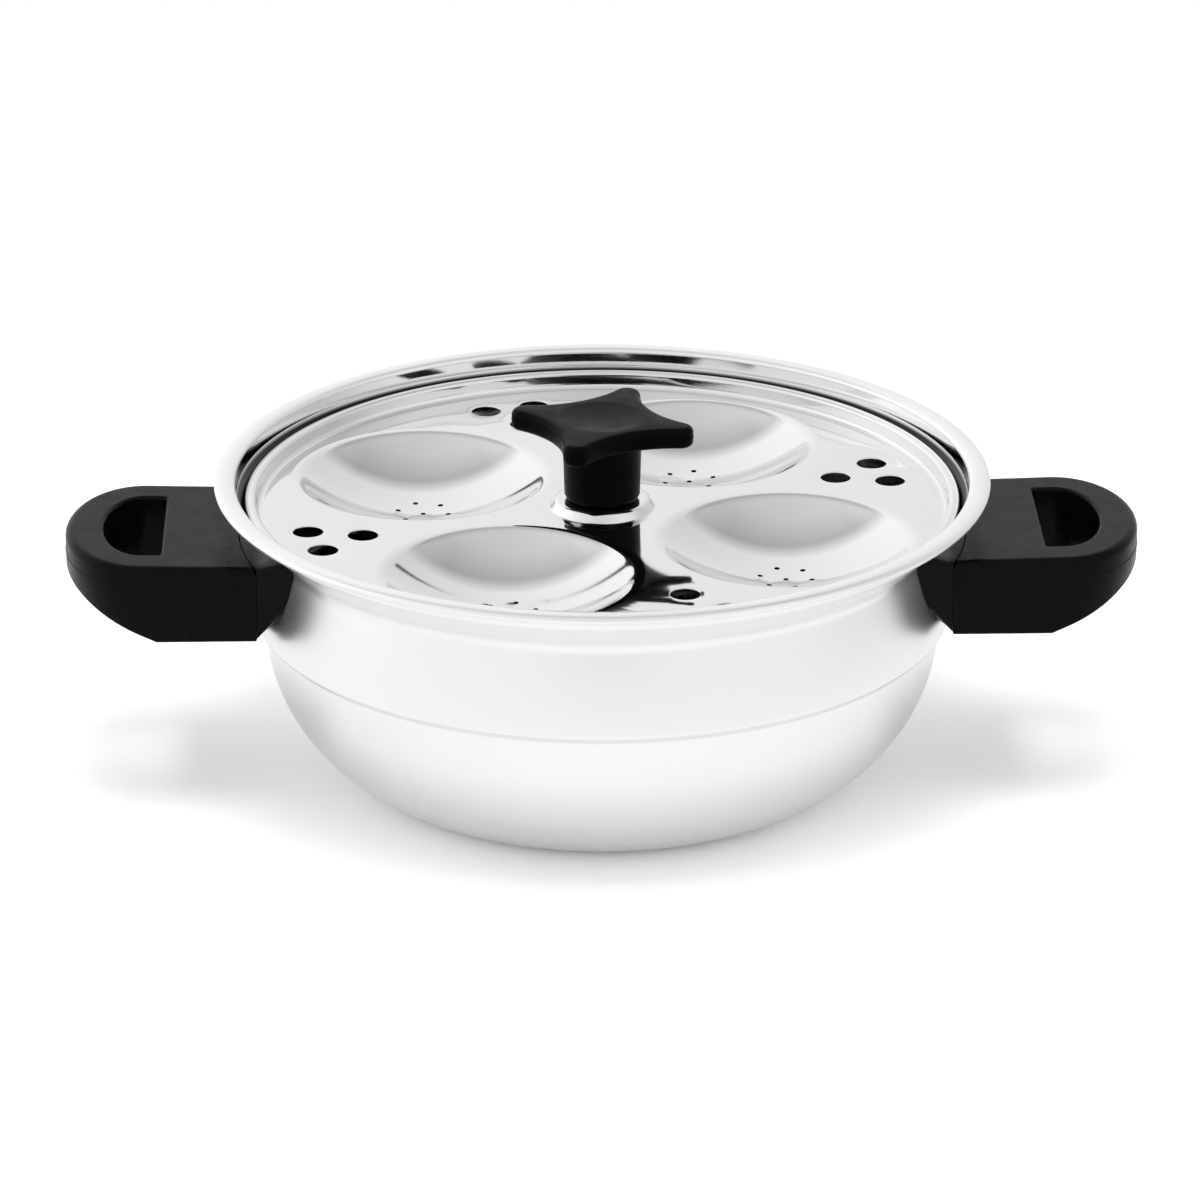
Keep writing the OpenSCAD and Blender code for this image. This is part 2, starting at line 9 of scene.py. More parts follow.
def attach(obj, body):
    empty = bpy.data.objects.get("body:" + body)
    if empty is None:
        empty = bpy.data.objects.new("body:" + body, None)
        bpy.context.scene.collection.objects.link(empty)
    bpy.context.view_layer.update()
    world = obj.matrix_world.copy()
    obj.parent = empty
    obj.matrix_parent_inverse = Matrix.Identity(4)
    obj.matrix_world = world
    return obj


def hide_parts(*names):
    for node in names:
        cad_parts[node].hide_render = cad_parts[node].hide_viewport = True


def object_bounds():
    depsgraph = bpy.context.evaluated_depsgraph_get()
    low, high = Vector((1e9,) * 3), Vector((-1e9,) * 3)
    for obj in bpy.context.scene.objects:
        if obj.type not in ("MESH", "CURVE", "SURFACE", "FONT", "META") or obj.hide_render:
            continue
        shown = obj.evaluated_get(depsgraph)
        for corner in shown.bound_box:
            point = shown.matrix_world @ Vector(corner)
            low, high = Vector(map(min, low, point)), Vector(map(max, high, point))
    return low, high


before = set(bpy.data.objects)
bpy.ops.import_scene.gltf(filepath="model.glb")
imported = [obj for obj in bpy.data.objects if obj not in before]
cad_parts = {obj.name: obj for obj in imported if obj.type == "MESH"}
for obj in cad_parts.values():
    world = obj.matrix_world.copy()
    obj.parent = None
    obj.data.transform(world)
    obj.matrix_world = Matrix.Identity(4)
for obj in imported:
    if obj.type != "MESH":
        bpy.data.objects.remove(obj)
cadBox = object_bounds()
scene = bpy.context.scene
mm = 0.001
sameSpot = 1e-4     # millimetres, for points that lie on one line or plane
print("steamer: frame loaded,", len(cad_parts), "nodes")


# camera, at the photograph's angle
cameraSet = {
    "distance": 2.0,
    "down": 21.9535,        # degrees below the horizon
    "yaw": 1.55,            # the right handle stands a little further back
    "lens": 184.62,
    "sensor": 36,
    "sideways": -0.0007,
    "aimHeight": 0.05742,
    "farthest": 50,
}


def makeCamera():
    down, yaw = math.radians(cameraSet["down"]), math.radians(cameraSet["yaw"])
    data = bpy.data.cameras.new("viewCamera")
    data.lens = cameraSet["lens"]
    data.sensor_width = cameraSet["sensor"]
    data.clip_end = cameraSet["farthest"]
    camera = bpy.data.objects.new("viewCamera", data)
    scene.collection.objects.link(camera)
    place = Vector((
        cameraSet["sideways"],
        -cameraSet["distance"] * math.cos(down),
        cameraSet["aimHeight"] + cameraSet["distance"] * math.sin(down),
    ))
    turn = Matrix.Rotation(-yaw, 4, "Z")
    tip = Matrix.Rotation(math.pi / 2 - down, 4, "X")
    camera.matrix_world = turn @ Matrix.Translation(place) @ tip
    scene.camera = camera


makeCamera()
print("steamer: camera set")


# profile helpers, in millimetres and degrees
def arcPoints(x, y, radius, start, end, steps):
    angles = [math.radians(start + (end - start) * i / steps) for i in range(steps + 1)]
    return [(x + radius * math.cos(a), y + radius * math.sin(a)) for a in angles]


def circlePoints(x, y, radius, steps, start=0):
    # the first point isn't repeated at the end
    return arcPoints(x, y, radius, start, start + 360 - 360 / steps, steps - 1)


def ovalPoints(x, y, halfWidth, halfHeight, start, end, steps):
    return [
        (x + halfWidth * c, y + halfHeight * s)
        for c, s in arcPoints(0, 0, 1, start, end, steps)
    ]


def roundPath(path, steps=8):
    # points are (x, y), or (x, y, radius) where the corner is rounded
    points = []
    for i, p in enumerate(path):
        here = Vector(p[:2])
        if len(p) == 2:
            points.append(tuple(here))
            continue
        back = (Vector(path[i - 1][:2]) - here).normalized()
        ahead = (Vector(path[i + 1][:2]) - here).normalized()
        half = back.angle(ahead) / 2
        centre = here + (back + ahead).normalized() * p[2] / math.sin(half)
        first = here + back * p[2] / math.tan(half) - centre
        last = here + ahead * p[2] / math.tan(half) - centre
        start = math.degrees(math.atan2(first.y, first.x))
        sweep = (math.degrees(math.atan2(last.y, last.x)) - start + 180) % 360 - 180
        points += arcPoints(centre.x, centre.y, p[2], start, start + sweep, steps)
    return points


# mesh helpers
def spinProfile(bm, profile, steps, centre=(0, 0)):
    verts = [bm.verts.new((centre[0] + r, centre[1], z)) for r, z in profile]
    edges = [bm.edges.new(pair) for pair in zip(verts, verts[1:])]
    bmesh.ops.spin(
        bm, geom=verts + edges, cent=(*centre, 0), axis=(0, 0, 1), dvec=(0, 0, 0),
        angle=math.tau, steps=steps, use_merge=True, use_duplicate=False)


def addLoop(bm, points):
    verts = [bm.verts.new(p) for p in points]
    return [bm.edges.new(pair) for pair in zip(verts, verts[1:] + verts[:1])]


def loftLoops(bm, loops):
    edgeLoops = [addLoop(bm, loop) for loop in loops]
    for one, other in zip(edgeLoops, edgeLoops[1:]):
        bmesh.ops.bridge_loops(bm, edges=one + other)
    return edgeLoops


def fillLoops(bm, edges, normal=(0, 0, 1)):
    bmesh.ops.triangle_fill(
        bm, use_beauty=True, use_dissolve=False, edges=edges, normal=normal)


def joinClose(bm, distance=0.001):
    bmesh.ops.remove_doubles(bm, verts=bm.verts, dist=distance)


def mirrorPiece(bm, side):
    # the pieces of the right handle are mirrored for the left one
    if side < 0:
        bmesh.ops.scale(bm, vec=(-1, 1, 1), verts=bm.verts)


def thicken(bm, wall, upward):
    # the sheet's own skin stays where it is, and the wall grows behind it
    joinClose(bm)
    bmesh.ops.recalc_face_normals(bm, faces=bm.faces)
    lean = sum(face.normal.z * face.calc_area() for face in bm.faces)
    if (lean > 0) != upward:
        bmesh.ops.reverse_faces(bm, faces=bm.faces)
    bmesh.ops.solidify(bm, geom=bm.faces[:], thickness=wall)


def finishPiece(name, bm, material, body, nodes, sharpAngle=40):
    bmesh.ops.scale(bm, vec=(mm, mm, mm), verts=bm.verts)
    for face in bm.faces:
        face.smooth = True
    for edge in bm.edges:
        edge.smooth = edge.calc_face_angle(0) < math.radians(sharpAngle)
    mesh = bpy.data.meshes.new(name)
    bm.to_mesh(mesh)
    bm.free()
    mesh.materials.append(material)
    piece = bpy.data.objects.new(name, mesh)
    scene.collection.objects.link(piece)
    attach(piece, body)
    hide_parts(*nodes)
    print(f"steamer: {name}, {len(mesh.polygons)} faces")


# materials
class NodeBench:
    # adds nodes to one material and links them by name
    def __init__(self, name):
        self.material = bpy.data.materials.new(name)
        self.material.use_nodes = True
        self.nodes = self.material.node_tree.nodes
        self.links = self.material.node_tree.links
        self.shader = self.nodes["Principled BSDF"]
        self.place = self.nodes.new("ShaderNodeTexCoord").outputs["Object"]

    def add(self, kind, inputs=None, **settings):
        node = self.nodes.new("ShaderNode" + kind)
        for key, value in settings.items():
            setattr(node, key, value)
        for key, value in (inputs or {}).items():
            if isinstance(value, bpy.types.NodeSocket):
                self.links.new(value, node.inputs[key])
            else:
                node.inputs[key].default_value = value
        return node

    def noise(self, scale, detail=2, stretch=(1, 1, 1)):
        mapped = self.add("Mapping", {"Vector": self.place, "Scale": stretch})
        return self.add("TexNoise", {
            "Vector": mapped.outputs["Vector"], "Scale": scale, "Detail": detail}).outputs["Fac"]

    def between(self, value, low, high, fromLow=0.3, fromHigh=0.7):
        return self.add("MapRange", {
            "Value": value, "From Min": fromLow, "From Max": fromHigh,
            "To Min": low, "To Max": high}).outputs["Result"]

    def bump(self, height, strength, distance, under=None):
        inputs = {"Height": height, "Strength": strength, "Distance": distance}
        if under:
            inputs["Normal"] = under
        return self.add("Bump", inputs).outputs["Normal"]

    def wire(self, **sockets):
        names = {"colour": "Base Color", "rough": "Roughness", "normal": "Normal"}
        for key, value in sockets.items():
            self.links.new(value, self.shader.inputs[names[key]])


steelLook = {
    "pot": {
        "colour": (0.90, 0.90, 0.90, 1), "rough": (0.30, 0.38), "wave": 0.00012,
        # the inside's two tones are painted shade: darker below the collar, and near black where
        # the plate rests, as the shadow in the gap
        "collarRough": 0.07, "insideRough": 0.30, "insideShadeTone": 0.78, "restShadowTone": 0.02,
        "collarFade": (-0.3, 0.8),      # millimetres above the collar's foot
        "restShadowFade": (1, 6),             # millimetres above the neck
    },
    "plate": {"colour": (0.78, 0.78, 0.78, 1), "rough": (0.05, 0.09), "wave": 0.00010},
    "fixing": {"colour": (0.62, 0.62, 0.63, 1), "rough": (0.22, 0.34), "wave": 0.0},
}
steelSkin = {
    "cloudScale": 26, "fineScale": 900, "fineStretch": (1, 1, 6), "fineStrength": 0.25,
    "fineDepth": 0.00001, "waveScale": 22, "waveStrength": 0.6,
}


def dullAndShadeInside(bench, look, rough):
    # the collar's inner wall is polished; below it the inside is left dull and is painted darker as
    # shade, with a painted shadow near black where the plate rests
    height = bench.add("SeparateXYZ", {0: bench.place}).outputs["Z"]
    inner = bench.add("Attribute", attribute_name="inside").outputs["Fac"]
    low = bench.between(height, 1, 0, *((collarZ + up) * mm for up in look["collarFade"]))
    share = bench.add("Math", {0: inner, 1: low}, operation="MULTIPLY").outputs[0]
    # painted shade: from the neck up toward the plate's rest the inside darkens to near black, as
    # the shadow in the gap beside the plate
    paintedShade = bench.between(
        height, look["insideShadeTone"], look["restShadowTone"],
        *((neckZ + up) * mm for up in look["restShadowFade"]))
    tone = bench.add("Mix", {"Factor": share, "A": look["colour"][0], "B": paintedShade})
    bench.wire(colour=tone.outputs["Result"])
    rough = bench.add("Mix", {"Factor": inner, "A": rough, "B": look["collarRough"]})
    rough = bench.add("Mix", {
        "Factor": share, "A": rough.outputs["Result"], "B": look["insideRough"]})
    return rough.outputs["Result"]


def steelMaterial(name):
    look = steelLook[name]
    bench = NodeBench(name + "Steel")
    bench.shader.inputs["Metallic"].default_value = 1.0
    bench.shader.inputs["Base Color"].default_value = look["colour"]
    rough = bench.between(bench.noise(steelSkin["cloudScale"], detail=3), *look["rough"])
    if "insideShadeTone" in look:
        rough = dullAndShadeInside(bench, look, rough)
    bench.wire(rough=rough)
    fine = bench.noise(steelSkin["fineScale"], stretch=steelSkin["fineStretch"])
    skin = bench.bump(fine, steelSkin["fineStrength"], steelSkin["fineDepth"])
    if look["wave"]:
        wave = bench.noise(steelSkin["waveScale"], detail=1)
        skin = bench.bump(wave, steelSkin["waveStrength"], look["wave"], under=skin)
    bench.wire(normal=skin)
    return bench.material


blackLook = {
    "knob": {"tone": 0.0015, "rough": (0.30, 0.40), "shine": 0.04, "grain": 0.00005},
    "grip": {"tone": 0.003, "rough": (0.22, 0.34), "shine": 0.06, "grain": 0.00006},
    "guard": {"tone": 0.003, "rough": (0.18, 0.28), "shine": 0.07, "grain": 0.00002},
}
blackSkin = {
    "cloudScale": 60, "cloudRange": (0.8, 1.25), "roughScale": 140,
    "grainScale": 2600, "grainStrength": 0.5, "rippleScale": 420, "rippleStrength": 0.35,
}


def blackMaterial(name):
    look = blackLook[name]
    bench = NodeBench(name + "Bakelite")
    bench.shader.inputs["Specular IOR Level"].default_value = look["shine"]
    cloudy = bench.between(
        bench.noise(blackSkin["cloudScale"], detail=4), *blackSkin["cloudRange"])
    tone = bench.add(
        "Mix", {"Factor": 1.0, "A": (look["tone"],) * 3 + (1,), "B": cloudy},
        data_type="RGBA", blend_type="MULTIPLY")
    bench.wire(colour=tone.outputs["Result"])
    bench.wire(rough=bench.between(bench.noise(blackSkin["roughScale"], detail=3), *look["rough"]))
    grain = bench.bump(
        bench.noise(blackSkin["grainScale"]), blackSkin["grainStrength"], look["grain"])
    bench.wire(normal=bench.bump(
        bench.noise(blackSkin["rippleScale"]), blackSkin["rippleStrength"], look["grain"],
        under=grain))
    return bench.material


brassLook = {"colour": (0.72, 0.52, 0.24, 1), "rough": (0.25, 0.4), "scale": 300}


def brassMaterial():
    bench = NodeBench("insertBrass")
    bench.shader.inputs["Metallic"].default_value = 1.0
    bench.shader.inputs["Base Color"].default_value = brassLook["colour"]
    bench.wire(rough=bench.between(bench.noise(brassLook["scale"]), *brassLook["rough"]))
    return bench.material


plateSteel, fixingSteel = (steelMaterial(n) for n in ("plate", "fixing"))
knobBlack, gripBlack, guardBlack = (blackMaterial(n) for n in ("knob", "grip", "guard"))
insertBrass = brassMaterial()
print("steamer: materials made")


# the pot: one sheet from the base to the rolled rim
potSize = {
    "height": 102, "rimRadius": 125, "rimWidth": 6.8, "rimThickness": 3.2,
    "collarDepth": 6.6, "neckIn": 12, "neckDepth": 17, "bellyOut": 5.7,
    "bellyBow": 0.5, "bellyDepth": 45.7, "bellySteps": 14, "ledgeIn": 3.3, "ledgeHeight": 2.6,
    "baseRadius": 71, "baseRound": 5, "baseClear": 0.8, "ledgeFootRound": 1.1, "ledgeRound": 1.3,
    "neckRound": 4.5, "collarRound": 2, "curlGap": 0.2, "curl": (180, -140),
    "wall": 0.8, "steps": 224,
}
collarInRadius = potSize["rimRadius"] - potSize["rimWidth"]
collarRadius = collarInRadius + potSize["wall"]
collarZ = potSize["height"] - potSize["collarDepth"]
neckRadius = collarRadius - potSize["neckIn"]
neckZ = potSize["height"] - potSize["neckDepth"]
bellyRadius = neckRadius + potSize["bellyOut"]
bellyZ = potSize["height"] - potSize["bellyDepth"]
rimMidRadius = potSize["rimRadius"] - potSize["rimWidth"] / 2
rimMidZ = potSize["height"] - potSize["rimThickness"] / 2


def bowlProfile():
    edgeRadius = bellyRadius - potSize["ledgeIn"]
    edgeZ = bellyZ - potSize["ledgeHeight"]
    run = edgeRadius - potSize["baseRadius"]
    arcRadius = (edgeZ ** 2 + run ** 2) / (2 * run)
    arcEnd = math.degrees(math.asin(edgeZ / arcRadius))
    bowl = [
        p for p in arcPoints(edgeRadius - arcRadius, edgeZ, arcRadius, -arcEnd, 0, 40)
        if potSize["baseClear"] < p[1] < edgeZ - potSize["ledgeFootRound"]
    ]
    base = [(0, 0), (30, 0), (55, 0), (potSize["baseRadius"], 0, potSize["baseRound"])]
    ledge = [
        (edgeRadius, edgeZ, potSize["ledgeFootRound"]),
        (bellyRadius, bellyZ, potSize["ledgeRound"])]
    return base + bowl + ledge


def potProfile():
    # the belly bows out between the ledge and the neck's rounding
    belly = []
    for i in range(1, potSize["bellySteps"] - 1):
        s = i / potSize["bellySteps"]
        belly.append((
            bellyRadius + (neckRadius - bellyRadius) * s + potSize["bellyBow"] * 4 * s * (1 - s),
            bellyZ + (neckZ - bellyZ) * s))
    path = bowlProfile() + belly + [
        (neckRadius, neckZ, potSize["neckRound"]), (collarRadius, collarZ, potSize["collarRound"]),
        (collarRadius, rimMidZ - potSize["curlGap"])]
    curl = ovalPoints(
        rimMidRadius, rimMidZ, potSize["rimWidth"] / 2 - potSize["wall"],
        potSize["rimThickness"] / 2 - potSize["wall"], *potSize["curl"], 40)
    return roundPath(path) + curl


insideMark = {"belowRim": 0.3, "inward": 0.05, "upward": 0.9}


def markInside(bm):
    # the faces that look into the pot are marked for the material, which makes them duller and
    # paints shade on them
    inside = bm.faces.layers.float.new("inside")
    for face in bm.faces:
        middle = face.calc_center_median()
        inward = -face.normal.xy.dot(middle.xy.normalized())
        looksIn = inward > insideMark["inward"] or face.normal.z > insideMark["upward"]
        if middle.z < rimMidZ - insideMark["belowRim"] and looksIn:
            face[inside] = 1


def makePot():
    bm = bmesh.new()
    spinProfile(bm, potProfile(), potSize["steps"])
    thicken(bm, potSize["wall"], upward=False)
    markInside(bm)
    finishPiece(
        "pot_skin", bm, steelMaterial("pot"), "pot",
        ["pot_base", "pot_bowl", "pot_wall"])


makePot()


# the two cavity plates
plateSize = {
    "gap": 3, "edgeWidth": 3.6, "edgeThickness": 2.6, "edgeHeight": 5.6, "wall": 0.6,
    "bend": 2.4, "restGap": 0.3, "curlGap": 0.2, "curl": (180, -120), "pitch": 42,
    "cupDepth": 14, "lip": 7, "hubRadius": 17, "hubHeight": 3, "hubSlope": 2, "hubRound": 1.8,
    "hubFootRound": 0.8, "rodHole": 4.2, "turn": 17.2, "steps": 224, "cupSteps": 72,
    "drainRadius": 0.9, "drainRing": 8.4, "drainPatch": 14.4, "drainSide": 4,
    "ventRadius": 4.85, "ventInset": 13.4, "ventStep": 15.8, "ventPitch": 16.9,
    "ventEdge": [(0, -0.25), (0.05, -0.12), (0.16, -0.03), (0.35, 0)], "ventSteps": 48,
    "rimFlat": 0.1, "hubFlat": 0.55, "cupFlat": 0.15,   # how far each runs out on the flat
    "lowerIn": 7,       # how much smaller than the neck the lower plate's radius is
}
topPlate = {
    "radius": collarInRadius - plateSize["gap"], "web": 6.8, "edge": 1.4, "vents": True,
}
lowerPlate = {
    "radius": neckRadius - plateSize["lowerIn"], "web": 3, "edge": 0.6, "vents": False,
}


def plateHeight():
    # the plate's bend rests just above the sloping shoulder of the mouth
    slope = math.atan2(collarZ - neckZ, potSize["neckIn"])
    bendX = topPlate["radius"] - plateSize["edgeWidth"] + plateSize["wall"] - plateSize["bend"]
    lift = (plateSize["bend"] + plateSize["restGap"] + potSize["wall"]) / math.cos(slope)
    bendZ = collarZ + (bendX - collarRadius) * math.tan(slope) + lift
    return bendZ - plateSize["bend"] + plateSize["wall"]


plateZ = plateHeight()
lowerZ = plateZ - plateSize["pitch"]
hubZ = plateZ + plateSize["hubHeight"]


def plateRim(plate, flatRadius):
    wallRadius = plate["radius"] - plateSize["edgeWidth"]
    edgeZ = plateSize["edgeHeight"] - plateSize["edgeThickness"] / 2
    wall = roundPath([
        (flatRadius - plateSize["rimFlat"], 0),
        (wallRadius, 0, plateSize["bend"] - plateSize["wall"]),
        (wallRadius, edgeZ - plateSize["curlGap"])])
    curl = ovalPoints(
        plate["radius"] - plateSize["edgeWidth"] / 2, edgeZ,
        plateSize["edgeWidth"] / 2, plateSize["edgeThickness"] / 2, *plateSize["curl"], 30)
    return wall + curl


def plateHub():
    return roundPath([
        (plateSize["rodHole"], plateSize["hubHeight"]),
        (plateSize["hubRadius"] - plateSize["hubSlope"], plateSize["hubHeight"],
         plateSize["hubRound"]),
        (plateSize["hubRadius"], 0, plateSize["hubFootRound"]),
        (plateSize["hubRadius"] + plateSize["hubFlat"], 0)])


def cupCentres(plate, flatRadius):
    pitchRadius = (flatRadius - plate["edge"] + plate["web"] / 2) / (1 + math.sqrt(0.5))
    lipRadius = pitchRadius * math.sqrt(0.5) - plate["web"] / 2
    turns = [math.radians(45 + 90 * q) for q in range(4)]
    return lipRadius, [(pitchRadius * math.cos(a), pitchRadius * math.sin(a)) for a in turns]


def cupShape(lipRadius):
    # the ball's radius, and the angle at which it meets the soft lip
    depth, lip = plateSize["cupDepth"], plateSize["lip"]
    ball = (lipRadius ** 2 + depth ** 2) / (2 * depth) - lip
    meet = math.degrees(math.atan2(lipRadius, ball - depth + lip))
    return ball, meet


def cupProfile(lipRadius):
    depth, lip = plateSize["cupDepth"], plateSize["lip"]
    ball, meet = cupShape(lipRadius)
    start = math.degrees(math.asin(plateSize["drainPatch"] / ball))
    hollow = arcPoints(0, ball - depth, ball, -90 + start, -90 + meet, 24)
    edge = arcPoints(lipRadius, -lip, lip, 90 + meet, 90, 10)
    return hollow + edge[1:] + [(lipRadius + plateSize["cupFlat"], 0)]


def addDrains(bm, centre, quarter, lipRadius):
    # the drilled bottom of one cavity: six-sided cells on the ball, a hole in each
    ball = cupShape(lipRadius)[0]
    middle = Vector(centre)
    pitch = plateSize["drainRing"]

    def onBall(x, y):
        drop = ball - plateSize["cupDepth"] - math.sqrt(ball ** 2 - x * x - y * y)
        return (middle.x + x, middle.y + y, drop)

    rim = [
        e for e in bm.edges if e.is_boundary
        and all((v.co.xy - middle).length < plateSize["drainPatch"] + 0.1 for v in e.verts)]
    first, sideSteps = 90 * quarter, plateSize["drainSide"]
    cells = [(0, 0)] + circlePoints(0, 0, pitch, 6, first)
    for x, y in cells:
        corners = circlePoints(x, y, pitch / math.sqrt(3), 6, first + 30)
        cell = []
        for one, other in zip(corners, corners[1:] + corners[:1]):
            cell += [
                onBall(*(a + (b - a) * k / sideSteps for a, b in zip(one, other)))
                for k in range(sideSteps)]
        hole = circlePoints(x, y, plateSize["drainRadius"], 6 * sideSteps, first + 30)
        loftLoops(bm, [cell, [onBall(*p) for p in hole]])
    joinClose(bm)

    def onOutline(v):
        spot = v.co.xy - middle
        clearOfHoles = all((spot - Vector(c)).length > 2 * plateSize["drainRadius"] for c in cells)
        return clearOfHoles and spot.length < plateSize["drainPatch"] - 0.1

    outline = [e for e in bm.edges if e.is_boundary and all(onOutline(v) for v in e.verts)]
    bmesh.ops.bridge_loops(bm, edges=rim + outline)


def ventPlaces(flatRadius):
    x, half = flatRadius - plateSize["ventInset"], plateSize["ventPitch"] / 2
    group = [Vector((x, -half, 0)), Vector((x, half, 0)), Vector((x - plateSize["ventStep"], 0, 0))]
    turns = [Matrix.Rotation(math.radians(90 * q), 3, "Z") for q in range(4)]
    return [turn @ place for turn in turns for place in group]


def makePlate(name, plate, height, node):
    bm = bmesh.new()
    flatRadius = plate["radius"] - plateSize["edgeWidth"] - plateSize["bend"] + plateSize["wall"]
    spinProfile(bm, plateRim(plate, flatRadius), plateSize["steps"])
    spinProfile(bm, plateHub(), plateSize["cupSteps"])
    lipRadius, centres = cupCentres(plate, flatRadius)
    for quarter, centre in enumerate(centres):
        spinProfile(bm, cupProfile(lipRadius), plateSize["cupSteps"], centre)
        joinClose(bm)
        addDrains(bm, centre, quarter, lipRadius)
    if plate["vents"]:
        punched = [(plateSize["ventRadius"] + out, z) for out, z in plateSize["ventEdge"]]
        for place in ventPlaces(flatRadius):
            spinProfile(bm, punched, plateSize["ventSteps"], (place.x, place.y))
    joinClose(bm)
    flatEdges = [
        e for e in bm.edges if e.is_boundary and all(abs(v.co.z) < sameSpot for v in e.verts)]
    fillLoops(bm, flatEdges)
    thicken(bm, plateSize["wall"], upward=True)
    bmesh.ops.rotate(
        bm, verts=bm.verts, cent=(0, 0, 0),
        matrix=Matrix.Rotation(math.radians(plateSize["turn"]), 3, "Z"))
    bmesh.ops.translate(bm, verts=bm.verts, vec=(0, 0, height))
    finishPiece(name, bm, plateSteel, "rack", [node])


makePlate("cavity_plate_top", topPlate, plateZ, "top_plate")
makePlate("cavity_plate_lower", lowerPlate, lowerZ, "lower_plate")


# the star knob
knobSize = {
    "stemFoot": 12.2, "stemTop": 12.7, "height": 27.6, "headThickness": 6.8,
    "tipReach": 30.5, "tipRound": 4.4, "waist": 18, "dishRadius": 14, "dishDepth": 0.8,
    "turn": -19.5, "boreRadius": 6.5, "boreHeight": 10.4, "seatGap": 0.3, "flare": 1.7,
    "footIn": 0.8, "footRise": 1.4,
}


def starOutline(drawnIn):
    # four rounded tips and four hollow sides
    tipRound, waist = knobSize["tipRound"], knobSize["waist"]
    tipMid = knobSize["tipReach"] - tipRound
    gap = waist ** 2 + tipMid ** 2 - math.sqrt(2) * waist * tipMid
    hollow = (gap - tipRound ** 2) / (2 * tipRound + math.sqrt(2) * tipMid - 2 * waist)
    hollowMid = waist + hollow
    toHollow = Vector((
        hollowMid * math.cos(math.pi / 4) - tipMid, hollowMid * math.sin(math.pi / 4)))
    tipHalf = math.degrees(math.atan2(toHollow.y, toHollow.x))
    hollowHalf = tipHalf - 45
    points = []
    for q in range(4):
        a = 90 * q + knobSize["turn"]
        side, tip = math.radians(a + 45), math.radians(a)
        points += arcPoints(
            tipMid * math.cos(tip), tipMid * math.sin(tip), tipRound - drawnIn,
            a - tipHalf, a + tipHalf, 12)
        points += arcPoints(
            hollowMid * math.cos(side), hollowMid * math.sin(side), hollow + drawnIn,
            a + 225 + hollowHalf, a + 225 - hollowHalf, 12)[1:-1]
    return points


def makeKnob():
    bm = bmesh.new()
    thick = knobSize["headThickness"]
    headZ = hubZ + knobSize["height"] - thick
    # how far each ring is drawn in and its height, from the underside, over the
    # parting ridge, to the top
    rings = [
        (1.7, 0), (0.9, 0.2), (0.3, 0.7), (0, 1.5), (0, 3.0), (-0.12, 3.12), (-0.12, 3.3),
        (0, 3.42), (0, thick - 1.9), (0.22, thick - 1.15), (0.7, thick - 0.5),
        (1.35, thick - 0.12), (2.1, thick)]
    loops = [[(x, y, headZ + h) for x, y in starOutline(t)] for t, h in rings]
    loftLoops(bm, loops)
    steps = len(loops[0])
    foot, top, flare = hubZ + knobSize["seatGap"], knobSize["stemTop"], knobSize["flare"]
    depth, edge = knobSize["dishDepth"], knobSize["dishRadius"]
    dish = [(r, -depth * (1 - (r / edge) ** 2)) for r in range(0, 13, 2)]
    dish += [(edge - 0.8, -0.085), (edge - 0.2, -0.02), (edge + 0.3, 0)]    # the soft edge
    spinProfile(bm, [(r, headZ + thick + h) for r, h in dish], steps)
    bore, boreTop = knobSize["boreRadius"], foot + knobSize["boreHeight"]
    stem = [
        (0, boreTop), (bore, boreTop), (bore, foot),
        (knobSize["stemFoot"] - knobSize["footIn"], foot, 0.2),
        (knobSize["stemFoot"], foot + knobSize["footRise"], 0.6), (top, headZ - flare)]
    curve = arcPoints(top + flare, headZ - flare, flare, 180, 90, 6)[1:]
    spinProfile(bm, roundPath(stem, 3) + curve, steps)
    joinClose(bm)
    rims = [e for e in bm.edges if e.is_boundary]
    lower = [e for e in rims if all(v.co.z < headZ + 1 for v in e.verts)]
    upper = [e for e in rims if all(v.co.z > headZ + 1 for v in e.verts)]
    fillLoops(bm, lower, (0, 0, -1))
    fillLoops(bm, upper)
    joinClose(bm)
    bmesh.ops.recalc_face_normals(bm, faces=bm.faces)
    finishPiece("star_knob", bm, knobBlack, "knob", ["knob_head", "knob_stem"])


makeKnob()


# the handle grips, made on the right and mirrored to the left
gripSize = {
    "length": 56.0, "halfWidth": 38, "height": 25, "drop": 17.7, "tilt": 1.4,
    "noseLength": 25.1, "topRound": 2.6, "footRound": 1.2, "seamRound": 0.3,
    "partingDrop": 7.0, "partingRidge": 0.16, "bendFrom": 25.8, "bendSlope": 25,
    "slotWall": 12.4, "slotFrom": 24.5, "slotCorner": 1.2, "slotRound": 1.2,
    "slotFootRound": 0.8, "screwFrom": 11.8, "sinkRadius": 5.4, "sinkDepth": 5, "sinkSteps": 48,
    "jointOut": 4.5, "jointGap": 0.1, "sharpAngle": 36,
}
jointRadius = bellyRadius + gripSize["jointOut"]
gripZ = potSize["height"] - gripSize["drop"]
gripFootZ = gripZ - gripSize["height"]
noseX = jointRadius + gripSize["length"] - gripSize["noseLength"]
bendX = jointRadius + gripSize["bendFrom"]
slotX = jointRadius + gripSize["slotFrom"]


def gripTop(x):
    return gripZ + (x - jointRadius) * math.tan(math.radians(gripSize["tilt"]))


def gripUnder(x):
    return gripFootZ + max(0, x - bendX) * math.tan(math.radians(gripSize["bendSlope"]))


def gripOutline(drawnIn):
    half = gripSize["halfWidth"] - drawnIn
    back = jointRadius + gripSize["jointGap"] + min(max(drawnIn, 0), gripSize["seamRound"])
    joint = [(math.sqrt(back ** 2 - y ** 2), y) for y in (half * (i / 10 - 1) for i in range(21))]
    side = [joint[-1][0] + (bendX - joint[-1][0]) * i / 8 for i in range(1, 9)]
    nose = ovalPoints(noseX, 0, gripSize["noseLength"] - drawnIn, half, 90, -90, 40)
    return joint + [(x, half) for x in side] + nose + [(x, -half) for x in reversed(side)]


